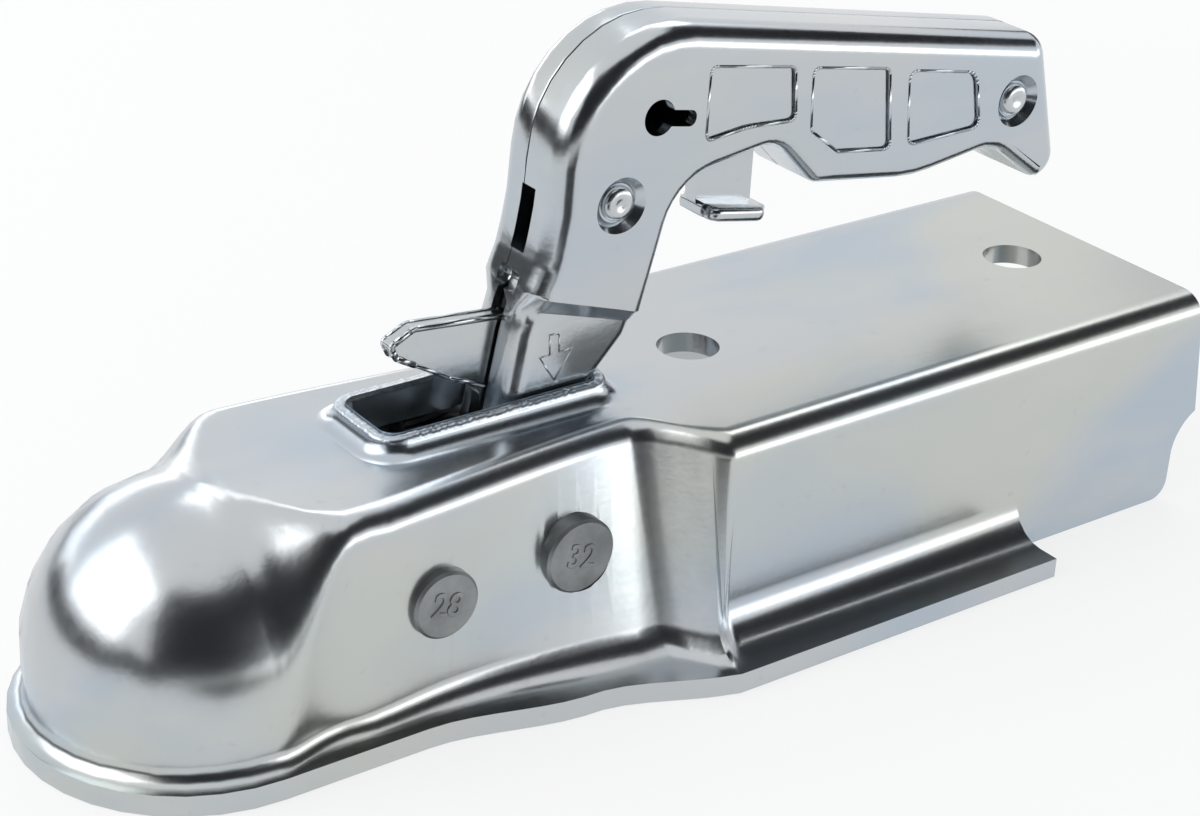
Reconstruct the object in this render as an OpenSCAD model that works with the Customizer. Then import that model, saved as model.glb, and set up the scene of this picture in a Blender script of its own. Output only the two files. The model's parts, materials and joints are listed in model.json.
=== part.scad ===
/* [Ball socket and sheet] */
// Outer radius of the pressed dome over the ball
dome_r = 29.3; // [28.8:0.1:31]
// Thickness of the pressed sheet
sheet_t = 4; // [3.2:0.2:4.4]
// Depth of the flange underside below the ball centre
base_drop = 15; // [14:0.5:17]

/* [Housing plan] */
// Outer half width just behind the dome
front_half = 26; // [25:0.5:27.5]
// Outer half width of the roof at the waist beside the handle slot
waist_half = 21.5; // [20.5:0.5:23]
// Outer half width of the drawbar channel
channel_half = 34.8; // [33.5:0.1:37]
// Where the dome has become a box section, behind the ball centre
box_x = 17; // [14:1:20]
// Where the waist ends and the sides step out to the channel
waist_x = 76; // [74:1:77]
// Where the channel has its full width
channel_x = 90; // [89:1:92]
// Where the side flanges are cut off
flange_end_x = 162; // [150:1:172]
// Rear end of the channel roof
rear_x = 208; // [204:1:214]
// How far the side walls reach behind the end of the roof
wall_overhang = 2.6; // [1:0.1:4]

/* [Bends and flanges] */
// Outer radius of the long roof bends
roof_bend = 5; // [4.6:0.1:6]
// Radius of the flange fillet round the dome
nose_fillet = 3.1; // [2.6:0.1:3.6]
// Radius of the flange fillet along the channel
side_fillet = 7.5; // [6:0.5:8]
// Half width over the flange beside the ball
nose_flange = 32; // [31.9:0.1:33]
// Half width over the flange at the pins
pin_flange = 38; // [37:0.5:39]
// Half width over the flange of the channel
channel_flange = 46.8; // [46:0.2:48]
// Inward lean of the wall under the dome, degrees
dome_lean = 6; // [4:0.5:7]
// Outward lean of the wall at the waist, degrees
waist_lean = 19; // [16:0.5:20]

/* [Drawbar bolt holes] */
// Diameter of the two roof holes
bolt_d = 12; // [10:0.1:13]
// First hole behind the ball centre
bolt_x = 105; // [103:1:112]
// Distance between the two holes
bolt_pitch = 84; // [78:1:88]

/* [Handle slot] */
// Front end of the slot
slot_x0 = 34; // [33:0.5:36]
// Rear end of the slot
slot_x1 = 78.6; // [78.2:0.1:79.2]
// Half width of the slot
slot_half = 8.1; // [8:0.1:8.8]
// Corner radius of the slot
slot_corner = 3; // [2:0.5:4]
// Height of the drawn collar above the roof
collar_h = 3.5; // [2.5:0.1:3.8]
// Width of the sheared rim of the collar
rim_w = 1.7; // [1.2:0.1:2.2]
// Reach of the collar slope at the roof
collar_reach = 5; // [4:0.2:5.4]

/* [Pins] */
// Front pin behind the ball centre
front_pin_x = 34.3; // [33.8:0.1:34.8]
// Front pin above the ball centre
front_pin_z = 8.7; // [8.2:0.1:9.2]
// Diameter of the front pin
front_pin_d = 10; // [9:0.2:10.6]
// Diameter of the front pin's ends
front_head_d = 12.8; // [12:0.1:13.4]
// Rear pin behind the ball centre, the handle turns on it
rear_pin_x = 62; // [61.6:0.1:62.4]
// Rear pin above the ball centre
rear_pin_z = 10; // [9.6:0.1:10.4]
// Diameter of the rear pin
rear_pin_d = 11; // [10:0.2:11.6]
// Diameter of the rear pin's ends
rear_head_d = 14.2; // [13.4:0.1:14.8]
// How far the pin ends stand proud of the wall
head_proud = 1.8; // [1.2:0.1:2.4]
// Running clearance on a radius
run_gap = 0.06; // [0.03:0.01:0.09]
// Side clearance between pieces that turn
side_gap = 0.3; // [0.25:0.05:0.4]

/* [Ball clamp] */
// Inner radius of the socket, a little over the 50 mm ball
socket_r = 25.3; // [25.2:0.1:25.6]
// Half width of the clamp
clamp_half = 11; // [9:0.5:12]
// Radius of the clamp's eye
clamp_eye_r = 9; // [8:0.2:9.2]
// Lowest point of the clamp below the ball centre
clamp_drop = 12.3; // [11:0.1:12.4]
// Half width of the gap between the clamp's two ears
clamp_gap = 4.2; // [4:0.1:5]

/* [Handle] */
// Half width over the two handle shells
handle_half = 9.5; // [9:0.1:10]
// Half width over the two cheeks in the slot
cheek_half = 7.3; // [7:0.1:7.4]
// Sheet of the handle shells
shell_t = 2.2; // [1.8:0.1:2.4]
// Seam of the two shells, to the side of the centre plane
seam_y = 1.5; // [1:0.1:2]
// Gap left between the two shells at the seam
seam_gap = 0.24; // [0.1:0.02:0.4]
// Outer bend along the back of the handle
back_bend = 4.5; // [3.5:0.1:4.8]
// Outer bend along the grip side
grip_bend = 2.4; // [2:0.1:3]
// Rivet that carries the release lever, behind the ball centre
low_rivet_x = 80.6; // [80:0.1:81]
// Rivet that carries the release lever, above the ball centre
low_rivet_z = 65.9; // [65.4:0.1:66.4]
// Rivet at the end of the grip, behind the ball centre
end_rivet_x = 175.2; // [174.6:0.1:175.8]
// Rivet at the end of the grip, above the ball centre
end_rivet_z = 68.3; // [67.8:0.1:68.8]
// Shank of both rivets
rivet_d = 5; // [4:0.1:5.4]
// Head of both rivets
rivet_head_d = 6.6; // [6.2:0.1:7.4]
// Dish round the rivet heads
dish_d = 10.4; // [9.6:0.2:11.4]
// Depth of the dish
dish_depth = 1.6; // [1.2:0.1:1.8]
// Round end of the keyhole
keyhole_d = 6.6; // [6:0.1:7]
// Narrow end of the keyhole
keyslot_w = 3; // [2.4:0.1:3.4]
// Depth of the three pressed fields on each shell
field_depth = 0.5; // [0.3:0.1:0.8]

/* [Lever and pointer] */
// Thickness of the release lever
lever_t = 3; // [2.4:0.1:3.2]
// Thickness of the pointer plate
pointer_t = 2.6; // [2:0.1:2.8]
// Width of the release lever's finger pad
pad_w = 11; // [9:0.5:12]
// Wire of the lever spring
lever_wire = 1.2; // [1:0.1:1.3]

/* [Springs and cam] */
// Wire of the two body springs
spring_wire = 2; // [1.6:0.1:2.2]
// Turns of the two body springs
spring_turns = 3; // [2:1:3]
// Radius of the cam sleeve between the cheeks
cam_r = 4.5; // [4.2:0.1:4.6]
// Diameter of the cam pin
cam_pin_d = 5; // [4.4:0.1:5.2]

/* [Hidden] */
roof_z = dome_r;
base_z = -base_drop;
inner_roof_z = roof_z - sheet_t;
rivet_spots = [[low_rivet_x, low_rivet_z], [end_rivet_x, end_rivet_z]];
front_pin = [front_pin_x, front_pin_z];
rear_pin = [rear_pin_x, rear_pin_z];
keyhole = [low_rivet_x + 7.3, low_rivet_z + 14.8];
round_fn = 48;
seat_gap = 0.04;
head_chamfer = 0.5;
spacer_d = 15;
washer_d = 17;
washer_out = cheek_half + side_gap + 1.5;
bush_d = 9;
pivot_d = 15;
rivet_head_h = 1.4;
boss_face = handle_half - shell_t - dish_depth;
keyslot_len = 8.2;
cheek_inside = shell_t - cheek_half + 0.05;
top_slope = 10.7;
// Front window in the seam: reach to the left and to the right side of the centre plane
seam_window = [2, 2.6];
// Start and end of the opening for the release lever in the seam under the grip
lever_window = [94, 118.5];
function sum(v) = v[0] + v[1];
// Three shallow pressed fields on each face: [x, z, corner radius]
fields = [
    [[98.4, 74.3, 1.5], [98.6, 88.2, 1.5], [118, 84.9, 1.5], [119, 74.6, 1.5], [108, 75.3, 20]],
    [[129.8, 66.5, 1.5], [122.8, 71.9, 1.5], [122.2, 84, 1.5], [140.9, 80.7, 1.5], [142.8, 64.6, 1.5]],
    [[147.3, 64.5, 2], [145.8, 79.5, 2], [163.4, 76.2, 4], [165.6, 64.8, 2]]];
plate_edge = 0.8;
bend_steps = 6;
inner_steps = 3;
corner_step = 11;
cam_spot = [rear_pin_x - 13, rear_pin_z - 7];
flange_gap = pointer_t / 2 + 0.6;

// Blends from 0 at a to 1 at b with level ends
function ease(a, b, x) =
    let (u = max(0, min(1, (x - a) / max(0.1, b - a)))) u * u * (3 - 2 * u);

// Section values of the housing at x, constant round the dome
function half_at(x) = dome_r - (dome_r - front_half) * ease(0, box_x, x)
    - (front_half - waist_half) * ease(12, waist_x, x)
    + (channel_half - waist_half) * ease(waist_x, channel_x, x);
function bend_at(x) = dome_r - (dome_r - roof_bend) * ease(0, box_x, x);
function lean_at(x) = -dome_lean + (dome_lean + 1.5) * ease(-2, 20, x)
    + (waist_lean - 1.5) * ease(28, channel_x - 6, x) - waist_lean * ease(channel_x - 7, channel_x, x);
function fillet_at(x) = nose_fillet + (side_fillet - nose_fillet) * ease(4, channel_x - 6, x);
function flange_at(x) = nose_flange + (pin_flange - nose_flange) * ease(28, 58, x)
    + (channel_flange - pin_flange) * ease(58, channel_x - 3, x);

roof_steps = 7;
foot_steps = 5;
// Half section [out, up] from flange edge to centre line, skin 0 outside and skin 1 inside
function half_section(x, skin) =
    let (
        d = skin * sheet_t, lean = lean_at(x), rb = bend_at(x), rf = fillet_at(x),
        cx = half_at(x) - rb, cz = roof_z - rb,
        fz = base_z + sheet_t + rf,
        fx = cx + (rf + rb - (fz - cz) * sin(lean)) / cos(lean),
        edge = max(flange_at(x), fx + 0.05)
    )
    concat(
        [[edge, base_z + sheet_t - d]],
        [for (i = [0:foot_steps]) let (a = -90 - (90 - lean) * i / foot_steps)
            [fx + (rf + d) * cos(a), fz + (rf + d) * sin(a)]],
        [for (i = [0:roof_steps]) let (a = lean + (90 - lean) * i / roof_steps)
            [cx + (rb - d) * cos(a), cz + (rb - d) * sin(a)]],
        cx > 0.01 ? [[0, roof_z - d]] : []);

nose_steps = 9;
body_xs = concat([for (x = [0:2.125:box_x]) x], [for (x = [20:4:waist_x - 4]) x],
    [for (x = [waist_x:2:channel_x - 1]) x], [channel_x, channel_x + 2]);
half_n = foot_steps + roof_steps + 3;
cols = 2 * half_n + 1;
// One row of the loft across the housing, left flange edge to right flange edge
function cross_row(x, skin, turn) =
    let (h = half_section(x, skin), top = [0, roof_z - skin * sheet_t],
         full = concat(h, [for (i = [0:1:half_n - len(h)]) top]))
    [for (k = [0:cols - 1])
        let (j = k < half_n ? k : cols - 1 - k, side = k < half_n ? -1 : 1,
             p = k == half_n ? top : full[j])
        turn < 0 ? [x, side * p[0], p[1]]
            : [-p[0] * cos(turn), side * p[0] * sin(turn), p[1]]];
function skin_rows(skin) = concat(
    [for (i = [0:nose_steps - 1]) cross_row(0, skin, 90 * i / nose_steps)],
    [for (x = body_xs) cross_row(x, skin, -1)]);
rows = nose_steps + len(body_xs);
// Points that coincide at the apex and along the nose line share one number
function spot(i, k) = i == 0 && k > half_n ? spot(0, cols - 1 - k)
    : (i <= nose_steps && (k >= half_n - 1 && k <= half_n + 1)) ? half_n : i * cols + k;
function split(a, b, c, d) = concat(
    a != b && b != c && a != c ? [[a, b, c]] : [],
    a != c && c != d && a != d ? [[a, c, d]] : []);
function end_cap(first, count) = [for (k = [0:count - 1]) first + k];
function turned(list) = [for (i = [len(list) - 1:-1:0]) list[i]];

// Height z of the outer or inner wall surface at x, measured out from the centre plane
function wall_at(x, z, skin) = half_at(x) - bend_at(x) + (bend_at(x) - skin * sheet_t
    + (roof_z - bend_at(x) - z) * sin(lean_at(x))) / cos(lean_at(x));

// Closed outlines, drawn clockwise as seen from the left side of the coupling
function unit(v) = v / norm(v);
function left_of(u) = [-u[1], u[0]];
function swung(v, a) = [v[0] * cos(a) - v[1] * sin(a), v[0] * sin(a) + v[1] * cos(a)];
function flat(p) = [p[0], p[1]];
// Every corner is [across, up, radius]; gives [point, outward normal, corner number]
function rounded(c) = [for (i = [0:len(c) - 1])
    let (p = flat(c[i]), u = unit(p - flat(c[(i + len(c) - 1) % len(c)])),
         v = unit(flat(c[(i + 1) % len(c)]) - p), r = c[i][2],
         turn = atan2(u[0] * v[1] - u[1] * v[0], u * v), s = turn < 0 ? 1 : -1,
         centre = p - u * r * tan(abs(turn) / 2) - left_of(u) * s * r,
         n = r > 0 ? max(1, ceil(abs(turn) / corner_step)) : 0)
    for (k = [0:n])
        let (nrm = n > 0 ? swung(left_of(u), turn * k / n)
            : unit(left_of(u) + left_of(v)) / cos(turn / 2))
        [centre + nrm * s * r, nrm, i]];
function outline(c) = [for (q = rounded(c)) q[0]];

// Handle outline: [x, z, corner radius, bend radius, 0 on the grip or 1 on the cheek]
handle_corners = [
    [63.04, 48.9, 0, back_bend, 1], [63.75, 51.8, 0, back_bend, 0],
    [64.1, 52.9, 6, back_bend, 0], [66.8, 58, 8, back_bend, 0],
    [69.4, 101.3, 23.8, back_bend, 0], [182.5, 79.9, 5, back_bend, 0],
    [188.4, 51.5, 4.5, grip_bend, 0], [182.9, 50.6, 3, grip_bend, 0],
    [170.4, 59.9, 10, grip_bend, 0], [150, 57.2, 30, grip_bend, 0],
    [125.4, 60.8, 3, grip_bend, 0], [115.6, 70.8, 8, grip_bend, 0],
    [93.4, 67.7, 12, grip_bend, 0], [86.7, 44.25, 0, grip_bend, 0],
    [85.9, 41.5, 0, grip_bend, 1], [84.6, 38.9, 4, grip_bend, 1],
    [77.6, 31.7, 4, grip_bend, 1], [rear_pin_x + 11, rear_pin_z - 11, 10.6, plate_edge, 1],
    [cam_spot[0] - cam_r, cam_spot[1] - cam_r, cam_r - 0.1, plate_edge, 1],
    [cam_spot[0] - cam_r, cam_spot[1] + cam_r, cam_r - 0.1, plate_edge, 1],
    [52.8, 8.9, 3, plate_edge, 1], [55.4, 19, 0, back_bend, 1]];

// Points of a pressed pan: one ring on the seam, then rings round the bend to the face
function pan_points(q, inset, steps, seam) =
    let (c = handle_corners)
    concat(
        [for (v = q) let (low = c[v[2]][4], p = v[0] - v[1] * inset)
            [p[0], low == 1 ? -flange_gap : seam, p[1]]],
        [for (j = [0:steps]) for (v = q)
            let (low = c[v[2]][4], b = max(0.2, c[v[2]][3] - inset), a = 90 * j / steps,
                 face = (low == 1 ? cheek_half : handle_half) - inset,
                 p = v[0] - v[1] * (inset + b * (1 - cos(a))))
            [p[0], b * (1 - sin(a)) - face, p[1]]]);
// Cuts a flat outline into triangles, one free corner at a time
function side_of(a, b, p) = (b[0] - a[0]) * (p[1] - a[1]) - (b[1] - a[1]) * (p[0] - a[0]);
function holds(a, b, c, p) = side_of(a, b, p) < 0 && side_of(b, c, p) < 0 && side_of(c, a, p) < 0;
function is_ear(a, b, c, ring, at) = side_of(at[a], at[b], at[c]) < 0
    && len([for (j = ring) if (holds(at[a], at[b], at[c], at[j])) j]) == 0;
function ear_width(a, b, c, at) = -side_of(at[a], at[b], at[c]) / norm(at[c] - at[a]) / norm(at[c] - at[a]);
function ears(ring, at) = len(ring) < 4 ? [ring] :
    let (n = len(ring),
         free = [for (i = [0:n - 1])
             if (is_ear(ring[(i + n - 1) % n], ring[i], ring[(i + 1) % n], ring, at)) i],
         fat = [for (i = free) ear_width(ring[(i + n - 1) % n], ring[i], ring[(i + 1) % n], at)],
         k = free[search(max(fat), fat)[0]])
    concat([[ring[(k + n - 1) % n], ring[k], ring[(k + 1) % n]]],
        ears([for (i = [0:n - 1]) if (i != k) ring[i]], at));

// The pressed shell in one closed mesh: outer skin, inner skin and the rim between them
module pan(seam) {
    q = rounded(handle_corners);
    n = len(q);
    zones = [for (z = [0, 1]) [for (i = [0:n - 1]) if (handle_corners[q[i][2]][4] == z) i]];
    ends = [zones[0][0], zones[0][len(zones[0]) - 1]];
    low = concat([for (i = zones[1]) if (i > ends[1]) i], [for (i = zones[1]) if (i < ends[0]) i]);
    second = (bend_steps + 2) * n;
    outer = [for (j = [0:bend_steps]) for (i = [0:n - 1])
        let (a = j * n + i, b = j * n + (i + 1) % n) each split(a, b, b + n, a + n)];
    inner = [for (j = [0:inner_steps]) for (i = [0:n - 1])
        let (a = second + j * n + i, b = second + j * n + (i + 1) % n) each split(b, a, a + n, b + n)];
    rim = [for (i = [0:n - 1]) let (b = (i + 1) % n) each split(b, i, i + second, b + second)];
    skins = [pan_points(q, 0, bend_steps, seam), pan_points(q, shell_t, inner_steps, seam)];
    faces = [for (skin = skins) let (last = len(skin) - n, at = [for (i = [0:n - 1]) [skin[last + i][0],
        skin[last + i][2]]]) concat(ears(zones[0], at), ears(low, at),
            split(ends[0], ends[1], low[0], low[len(low) - 1]))];
    polyhedron(convexity = 8, points = concat(skins[0], skins[1]),
        faces = concat(outer, inner, rim,
            [for (f = faces[0]) [for (i = f) i + (bend_steps + 1) * n]],
            [for (f = faces[1]) [for (i = turned(f)) i + second + (inner_steps + 1) * n]]));
}

// Round bar and tube lying across the coupling, from y0 to y1
module bar(spot, d, y0, y1) {
    translate([spot[0], y0, spot[1]]) rotate([-90, 0, 0]) cylinder(d = d, h = y1 - y0, $fn = round_fn);
}
module tube(spot, d, bore, y0, y1) {
    difference() {
        bar(spot, d, y0, y1);
        bar(spot, bore, y0 - 1, y1 + 1);
    }
}
// Flat plate in the plane x-z, from y0 to y1
module plate(corners, y0, y1) {
    translate([0, y1, 0]) rotate([90, 0, 0]) linear_extrude(y1 - y0) polygon(outline(corners));
}

module body_loft() {
    outer = skin_rows(0);
    inner = skin_rows(1);
    count = rows * cols;
    last = cols - 1;
    skins = [for (i = [0:rows - 2]) for (k = [0:cols - 2])
        let (a = spot(i, k), b = spot(i, k + 1), c = spot(i + 1, k + 1), d = spot(i + 1, k))
        each concat(split(a, b, c, d), split(a + count, d + count, c + count, b + count))];
    edges = [for (i = [0:rows - 2])
        let (a = spot(i, 0), b = spot(i + 1, 0), c = spot(i, last), d = spot(i + 1, last))
        each concat(split(a, b, b + count, a + count), split(d, c, c + count, d + count))];
    rear = [for (k = [0:cols - 2]) let (a = spot(rows - 1, k), b = spot(rows - 1, k + 1))
        each split(a, b, b + count, a + count)];
    polyhedron(points = concat([for (r = outer) each r], [for (r = inner) each r]),
        faces = concat(skins, edges, rear), convexity = 8);
}

// Channel for the drawbar, first with its flanges and then without them
channel_half_section = [half_section(channel_x + 2, 0), half_section(channel_x + 2, 1)];
function no_flange(skin) = let (h = channel_half_section[skin])
    concat([[channel_half - skin * sheet_t, base_z]], [for (i = [foot_steps + 2:half_n]) h[i]]);
function both_sides(half) = concat(half, [for (p = turned(half)) if (p[0] > 0.01) [-p[0], p[1]]]);
module channel(outer, inner, x0, x1) {
    translate([x0, 0, 0]) rotate([90, 0, 90]) linear_extrude(x1 - x0)
        polygon(concat(both_sides(outer), turned(both_sides(inner))));
}
module mirrored() {
    children();
    mirror([0, 1, 0]) children();
}

// Side view of the sheared rear end, with a notch above the rounded lower corner
notch_r = 10.5;
foot_r = 4;
foot_x = rear_x - 2.5;
notch_z = -6;
module rear_shear() {
    cut = concat(
        [[flange_end_x - 10, roof_z + 5], [rear_x, roof_z + 5], [rear_x, roof_z]],
        [for (a = [118:8.86:180]) [foot_x + notch_r + notch_r * cos(a), notch_z + notch_r * sin(a)]],
        [for (a = [0:-15:-90]) [foot_x - foot_r + foot_r * cos(a), base_z + foot_r + foot_r * sin(a)]],
        [[flange_end_x - 10, base_z]]);
    translate([0, channel_half + 5, 0]) rotate([90, 0, 0])
        linear_extrude(2 * channel_half + 10) polygon(cut);
}

// Rounded rectangle round the handle slot, grown on all sides
module slot_plan(grow, h) {
    r = slot_corner + grow;
    mid = (slot_x0 + slot_x1) / 2;
    lx = slot_x1 - slot_x0 + 2 * grow;
    ly = 2 * (slot_half + grow);
    translate([mid, 0, h / 2]) {
        cube([lx - 2 * r, ly, h], center = true);
        cube([lx, ly - 2 * r, h], center = true);
        for (sx = [-1, 1], sy = [-1, 1])
            translate([sx * (lx / 2 - r), sy * (ly / 2 - r), 0])
                cylinder(r = r, h = h, center = true, $fn = 32);
    }
}
module collar() {
    hull() {
        translate([0, 0, roof_z - 1]) slot_plan(collar_reach, 1.01);
        translate([0, 0, roof_z + collar_h * 0.72]) slot_plan(rim_w + 0.5, collar_h * 0.05);
        translate([0, 0, roof_z + collar_h - 0.3]) slot_plan(rim_w, 0.3);
    }
}

module housing() {
    color("gainsboro") difference() {
        union() {
            body_loft();
            collar();
            channel(channel_half_section[0], channel_half_section[1], channel_x + 2, flange_end_x);
            intersection() {
                channel(no_flange(0), no_flange(1), flange_end_x, rear_x + wall_overhang + 1);
                rear_shear();
            }
        }
        translate([0, 0, inner_roof_z - 2]) slot_plan(0, collar_h + sheet_t + 4);
        for (x = [bolt_x, bolt_x + bolt_pitch])
            translate([x, 0, inner_roof_z - 1]) cylinder(d = bolt_d, h = sheet_t + 2, $fn = round_fn);
        bar(front_pin, front_head_d + seat_gap, -channel_half, channel_half);
        bar(rear_pin, rear_head_d + seat_gap, -channel_half, channel_half);
    }
}

// Where the spacers end, just inside the leaning walls
function spacer_end(p) = let (r = spacer_d / 2) min(wall_at(p[0] + r, p[1] + r, 1),
    wall_at(p[0] - r, p[1] + r, 1)) - side_gap;
module pin(p, d, head_d) {
    shoulder = spacer_end(p);
    end = wall_at(p[0], p[1], 0) + head_proud;
    translate([p[0], 0, p[1]]) rotate([90, 0, 0]) rotate_extrude($fn = round_fn)
        polygon([[0, -end], [head_d / 2 - head_chamfer, -end], [head_d / 2, head_chamfer - end],
            [head_d / 2, -shoulder], [d / 2, -shoulder], [d / 2, shoulder], [head_d / 2, shoulder],
            [head_d / 2, end - head_chamfer], [head_d / 2 - head_chamfer, end], [0, end]]);
}
module front_pin() {
    color("silver") pin(front_pin, front_pin_d, front_head_d);
}
module rear_pin() {
    color("silver") pin(rear_pin, rear_pin_d, rear_head_d);
}
module spacer(p, d, y0) {
    color("darkgray") tube(p, spacer_d, d + seat_gap, y0, spacer_end(p));
}
module front_spacer() {
    spacer(front_pin, front_pin_d, clamp_half + side_gap);
}
module rear_spacer() {
    spacer(rear_pin, rear_pin_d, washer_out);
}
module washer() {
    color("silver") tube(rear_pin, washer_d, rear_pin_d + seat_gap, cheek_half + side_gap, washer_out);
}
module catch_bush() {
    color("darkgray") tube(front_pin, spacer_d, front_pin_d + seat_gap,
        side_gap - clamp_gap, clamp_gap - side_gap);
}

// Cast clamp with a hollow face for the ball, a split eye and a heel for the cam
module ball_clamp() {
    heel_x = cam_spot[0] - cam_r - side_gap;
    px = front_pin_x;
    pz = front_pin_z;
    color("dimgray") difference() {
        plate([[14, pz - 8, 0], [18, pz, 2], [px - 6, pz + clamp_eye_r, 6],
            [px + 6, pz + clamp_eye_r, 6], [px + clamp_eye_r, pz, 3], [heel_x, pz - 2.5, 2],
            [heel_x, cam_spot[1] - 4, 3], [30, -clamp_drop, 3], [14, -clamp_drop, 0]],
            -clamp_half, clamp_half);
        sphere(r = socket_r, $fn = 96);
        bar(front_pin, front_pin_d + 2 * run_gap, -clamp_half - 1, clamp_half + 1);
        bar(front_pin, spacer_d + 1, -clamp_gap, clamp_gap);
        translate([px - spacer_d / 2 - 0.5, -clamp_gap, pz])
            cube([spacer_d + 1, 2 * clamp_gap, clamp_eye_r + 1]);
    }
}

// Torsion spring round a spacer, with straight legs
module coil(p, r, wire, y0, pitch, turns, start, legs) {
    n = 12 * turns;
    at = [for (i = [0:n]) start + 30 * i];
    mid = [for (i = [0:n]) [p[0] + r * cos(at[i]), y0 + pitch * i / 12, p[1] + r * sin(at[i])]];
    path = concat([mid[0] - legs[0] * [-sin(at[0]), 0, cos(at[0])]], mid,
        [mid[n] + legs[1] * [-sin(at[n]), 0, cos(at[n])]]);
    out = concat([at[0]], at, [at[n]]);
    m = len(path);
    polyhedron(convexity = 6,
        points = [for (i = [0:m - 1]) for (k = [0:7])
            path[i] + wire / 2 * (cos(45 * k) * [cos(out[i]), 0, sin(out[i])] + sin(45 * k) * [0, 1, 0])],
        faces = concat([end_cap(0, 8), turned(end_cap(8 * m - 8, 8))],
            [for (i = [0:m - 2]) for (k = [0:7]) let (a = 8 * i + k, b = 8 * i + (k + 1) % 8)
                each [[a, a + 8, b + 8], [a, b + 8, b]]]));
}
module clamp_spring() {
    color("gray") coil(front_pin, spacer_d / 2 + side_gap + spring_wire / 2, spring_wire,
        clamp_half + spring_wire, spring_wire + 0.15, spring_turns, 90, [9, 7]);
}
module handle_spring() {
    color("gray") coil(rear_pin, spacer_d / 2 + side_gap + spring_wire / 2, spring_wire,
        washer_out + spring_wire, spring_wire + 0.15, spring_turns, 90, [8, 9]);
}

// One pressed half of the handle, its face towards the left side
module handle_half_shell(seam) {
    inner_face = handle_half - shell_t;
    difference() {
        union() {
            difference() {
                pan(seam);
                translate([cam_spot[0] - 10, cheek_inside, -20])
                    cube([60, 20, 20 + rear_pin_z + 14]);
            }
            for (p = rivet_spots)
                bar(p, dish_d + 1, -inner_face - 0.5, dish_depth - inner_face);
        }
        for (p = rivet_spots) {
            translate([p[0], -handle_half - 0.01, p[1]]) rotate([-90, 0, 0])
                cylinder(d1 = dish_d, d2 = dish_d - 2 * dish_depth, h = dish_depth + 0.01, $fn = round_fn);
            bar(p, rivet_d + seat_gap, -handle_half, 0);
        }
        bar(keyhole, keyhole_d, -handle_half - 1, 3);
        translate([keyhole[0], 0, keyhole[1]]) rotate([0, top_slope, 0])
            translate([0, -handle_half - 1, -keyslot_w / 2]) cube([keyslot_len, handle_half + 4, keyslot_w]);
        bar(rear_pin, rear_pin_d + 2 * run_gap, -handle_half, 3);
        bar(cam_spot, cam_pin_d + seat_gap, -handle_half, 3);
        for (f = fields) plate(f, -handle_half - 1, field_depth - handle_half);
        translate([60, -seam_window[0], 57.5]) cube([shell_t + 9, sum(seam_window), 11.5]);
        bar([64, 52.6], 4, -3, 3);
        translate([lever_window[0], -lever_t / 2 - 0.5, 60])
            cube([lever_window[1] - lever_window[0], lever_t + 1, 13]);
    }
}
module handle_left() {
    color("gainsboro") handle_half_shell(seam_y - seam_gap / 2);
}
module handle_right() {
    color("gainsboro") mirror([0, 1, 0]) handle_half_shell(-seam_y - seam_gap / 2);
}

// Solid rivet with a low head in each dish
module rivet(p) {
    seat = handle_half - dish_depth;
    color("silver") translate([p[0], 0, p[1]]) rotate([90, 0, 0]) rotate_extrude($fn = round_fn)
        polygon([[0, -seat - rivet_head_h], [rivet_head_d / 2 - 0.5, -seat - rivet_head_h],
            [rivet_head_d / 2, 0.5 - seat - rivet_head_h], [rivet_head_d / 2, -seat], [rivet_d / 2, -seat],
            [rivet_d / 2, seat], [rivet_head_d / 2, seat], [rivet_head_d / 2, seat + rivet_head_h - 0.5],
            [rivet_head_d / 2 - 0.5, seat + rivet_head_h], [0, seat + rivet_head_h]]);
}
module lower_rivet() {
    rivet(rivet_spots[0]);
}
module end_rivet() {
    rivet(rivet_spots[1]);
}
module grip_spacer() {
    color("darkgray") tube(rivet_spots[1], bush_d, rivet_d + seat_gap, -boss_face, boss_face);
}
module lever_bush() {
    color("darkgray") tube(rivet_spots[0], bush_d, rivet_d + seat_gap, lever_t / 2 + side_gap, boss_face);
}
module lever_spring() {
    color("gray") coil(rivet_spots[0], bush_d / 2 + side_gap + lever_wire / 2, lever_wire,
        lever_t / 2 + side_gap + lever_wire, lever_wire + 0.1, 1, 200, [3, 12]);
}
module pivot_tube() {
    inside = cheek_half - shell_t - 0.1;
    color("darkgray") tube(rear_pin, pivot_d, rear_pin_d + 2 * run_gap, -inside, inside);
}
module cam_pin() {
    end = cheek_half + 1.4;
    color("silver") {
        bar(cam_spot, cam_pin_d, -end, end);
        mirrored() bar(cam_spot, cam_pin_d + 2, cheek_half, end);
    }
}
module cam_sleeve() {
    inside = cheek_half - shell_t - 0.1;
    color("darkgray") tube(cam_spot, 2 * cam_r, cam_pin_d + seat_gap, -inside, inside);
}

// Pointer plate: its stem stands on the pivot tube between the cheeks
module pointer_plate() {
    color("silver") difference() {
        plate([[38.2, 45.8, 0.6], [43.2, 48.2, 2], [66, 46.1, 2], [67.5, rear_pin_z + 18, 6],
            [rear_pin_x + 5, rear_pin_z + 5, 0], [rear_pin_x - 5, rear_pin_z + 5, 0],
            [57.2, 33.4, 3], [50.7, 36.3, 3], [39.6, 42.9, 0.6]], -pointer_t / 2, pointer_t / 2);
        bar(rear_pin, pivot_d + seat_gap, -pointer_t, pointer_t);
    }
}

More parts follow.
